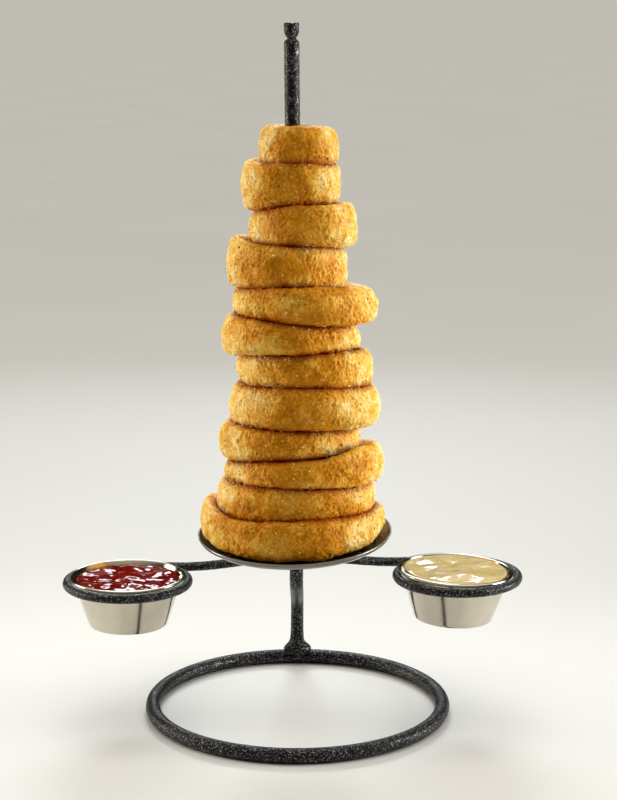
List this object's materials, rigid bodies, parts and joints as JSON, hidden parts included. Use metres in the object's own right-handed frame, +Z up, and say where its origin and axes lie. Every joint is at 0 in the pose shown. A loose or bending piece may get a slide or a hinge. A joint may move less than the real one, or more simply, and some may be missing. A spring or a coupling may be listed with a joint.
{
  "type": "onion ring tower on a stand with dips",
  "caption": "Battered onion rings stacked on the post of a black rod stand, over a small dish, with a red dip and a yellow dip in steel cups on side arms.",
  "frame": {"origin": "centre of the part's footprint at the level of the table under the base ring", "axes": "+Z up along the post, +X to the right of the picture towards the yellow dip, -Y to the front"},
  "size_m": [0.2392, 0.1606, 0.356],
  "materials": {
    "coat": "hammered black powder coat with fine silver flecks",
    "plate": "dark polished steel dish",
    "cup": "polished stainless steel",
    "red_dip": "glossy thick red sauce",
    "yellow_dip": "glossy creamy yellow sauce",
    "crust": "golden fried crumb batter"
  },
  "bodies": {
    "root": {"base_ring": "coat", "stem": "coat", "post": "coat", "left_holder": "coat", "right_holder": "coat", "plate": "plate", "left_cup": "cup", "right_cup": "cup", "left_dip": "red_dip", "right_dip": "yellow_dip", "onion_ring_01": "crust", "onion_ring_02": "crust", "onion_ring_03": "crust", "onion_ring_04": "crust", "onion_ring_05": "crust", "onion_ring_06": "crust", "onion_ring_07": "crust", "onion_ring_08": "crust", "onion_ring_09": "crust", "onion_ring_10": "crust", "onion_ring_11": "crust", "onion_ring_12": "crust"}
  },
  "joints": []
}
